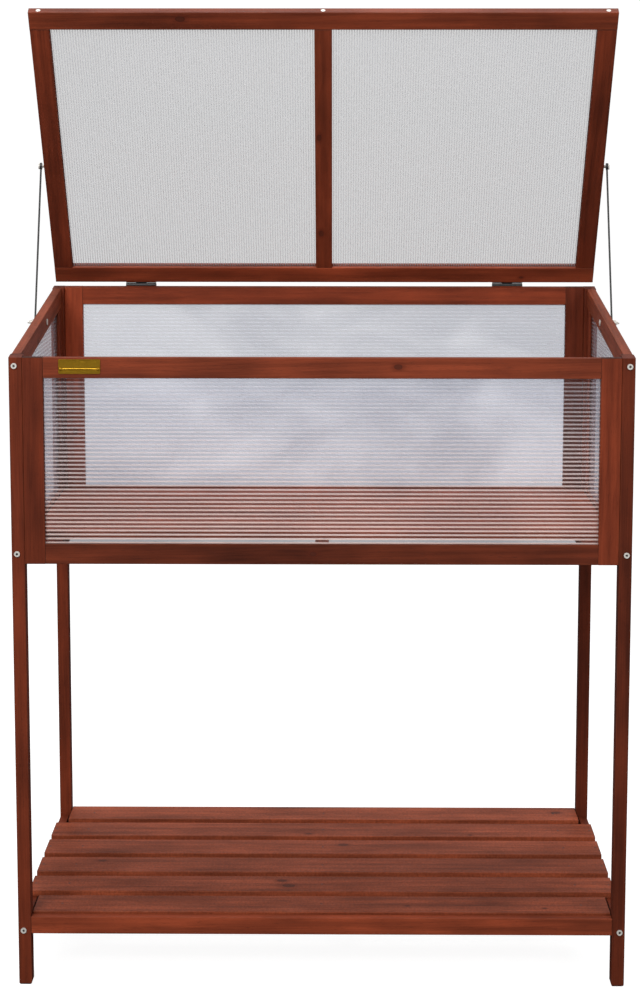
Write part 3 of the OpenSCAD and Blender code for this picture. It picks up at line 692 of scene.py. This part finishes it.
for node in sorted(frame["nodes"]):
    slot = SLOT_OF[node]
    if slot in woods:
        timber(node, woods[slot])
    elif slot == "twin_wall_sheet":
        sheet(node, LID_PITCH if BODY_OF[node] == "lid" else PANEL_PITCH, clear_sheet)
    else:
        shape = frame["nodes"][node]
        shape.data.materials.clear()
        shape.data.materials.append(metals[slot])

# ---------------------------------------------------------------- studio

# How bright the camera sees the backdrop, bare and through a clear sheet
BARE_WHITE = 1.05
BEHIND_SHEETS = 0.66
# The floor, seen the same two ways; behind a sheet it carries painted shade, darkest nearest the object,
# and fades into the backdrop over this distance
FLOOR_WHITE = 0.93
PAINTED_FLOOR_SHADE = 0.42
FLOOR_FADE = (3.4, 4.6)
FLOOR_RADIUS = 60.0
# How bright the object sees the sky in front of it and behind it
SKY_FRONT = 0.08
SKY_BACK = 0.60
LIT_POINT = (0.0, 0.0, 0.75)


def seen_through_sheet(g, path):
    return g.math("GREATER_THAN", path["Transparent Depth"], 0.5)


def floor_object():
    """A wide pale floor with a faint plaster grain, with painted shade where a clear sheet is in front of
    it.
    """
    g = new_material("studio_floor")
    place = g.add("ShaderNodeTexCoord").outputs["Object"]
    mottle = g.noise(place, 3.0, 4.0)
    path = g.add("ShaderNodeLightPath").outputs
    unseen = g.mix(path["Is Glossy Ray"], grey(0.38), grey(0.10))
    tint = g.mix(path["Is Camera Ray"], unseen, g.mix(mottle, grey(0.28), grey(0.32)))
    plaster = {
        "Base Color": tint,
        "Roughness": 0.9,
        "Specular IOR Level": 0.1,
        "Emission Color": grey(1.0),
        "Emission Strength": g.math("MULTIPLY", path["Is Camera Ray"], FLOOR_WHITE),
    }
    bare = g.add("ShaderNodeBsdfPrincipled", plaster).outputs[0]
    # Painted shade on the floor seen through a sheet, lightening with distance behind the object
    shades = (PAINTED_FLOOR_SHADE, BEHIND_SHEETS)
    shade = g.remap(g.split(place)[1], *FLOOR_FADE, *shades, smooth=True)
    behind = g.add("ShaderNodeEmission", {"Color": grey(1.0), "Strength": shade}).outputs[0]
    through = g.math("MULTIPLY", seen_through_sheet(g, path), path["Is Camera Ray"])
    material = g.finish(g.mix_shaders(through, bare, behind))
    bm = bmesh.new()
    bmesh.ops.create_circle(bm, cap_ends=True, radius=FLOOR_RADIUS, segments=64)
    add_object("studio_floor", bm, material)


def softbox(name, spot, size, power):
    light = bpy.data.lights.new(name, "AREA")
    light.shape = "SQUARE"
    light.size = size
    light.energy = power
    obj = bpy.data.objects.new(name, light)
    obj.location = spot
    obj.rotation_euler = (Vector(LIT_POINT) - Vector(spot)).to_track_quat("-Z", "Y").to_euler()
    obj.visible_camera = False
    bpy.context.scene.collection.objects.link(obj)


def studio_world():
    """The camera sees plain white; the object gets soft light, stronger from behind than in front."""
    g = Graph(bpy.data.worlds.new("studio"))
    depth = g.split(g.add("ShaderNodeTexCoord").outputs["Generated"])[1]
    soft = g.remap(depth, -0.5, 0.9, SKY_FRONT, SKY_BACK)
    path = g.add("ShaderNodeLightPath").outputs
    seen = g.math("MULTIPLY_ADD", seen_through_sheet(g, path), BEHIND_SHEETS - BARE_WHITE, BARE_WHITE)
    strength = g.math("MULTIPLY_ADD", path["Is Camera Ray"], g.math("SUBTRACT", seen, soft), soft)
    white = {"Color": grey(1.0), "Strength": strength}
    bpy.context.scene.world = g.finish(g.add("ShaderNodeBackground", white).outputs[0])


floor_object()
softbox("key", (-1.6, -3.6, 3.6), 2.0, 190.0)
softbox("fill", (2.6, -3.4, 2.6), 2.2, 70.0)
softbox("top", (0.0, 1.2, 4.2), 2.6, 90.0)
studio_world()

# ---------------------------------------------------------------- camera

# Camera in the object's frame: in front, a little above the open rim, turned down to the shelf
CAMERA_SPOT = (0.0234, -3.2994, 1.2810)
CAMERA_YAW = math.radians(-0.485)
CAMERA_DOWN = math.radians(7.242)
CAMERA_ROLL = math.radians(0.033)
CAMERA_LENS = 76.9
CAMERA_SHIFT = -0.1096


def add_camera():
    data = bpy.data.cameras.new("camera")
    data.sensor_width = 36.0
    data.lens = CAMERA_LENS
    data.shift_y = CAMERA_SHIFT
    camera = bpy.data.objects.new("camera", data)
    level = Vector((math.sin(CAMERA_YAW), math.cos(CAMERA_YAW), 0.0))
    forward = math.cos(CAMERA_DOWN) * level - math.sin(CAMERA_DOWN) * Vector((0, 0, 1))
    right = forward.cross(Vector((0, 0, 1))).normalized()
    up = right.cross(forward)
    c, s = math.cos(CAMERA_ROLL), math.sin(CAMERA_ROLL)
    columns = (c * right + s * up, c * up - s * right, -forward)
    turn = Matrix(columns).transposed().to_4x4()
    camera.matrix_world = Matrix.Translation(CAMERA_SPOT) @ turn
    bpy.context.scene.collection.objects.link(camera)
    bpy.context.scene.camera = camera


add_camera()
bpy.context.scene.view_settings.view_transform = "Standard"
# Enough for a ray along the ribs of a sheet
bpy.context.scene.cycles.transparent_max_bounces = 64
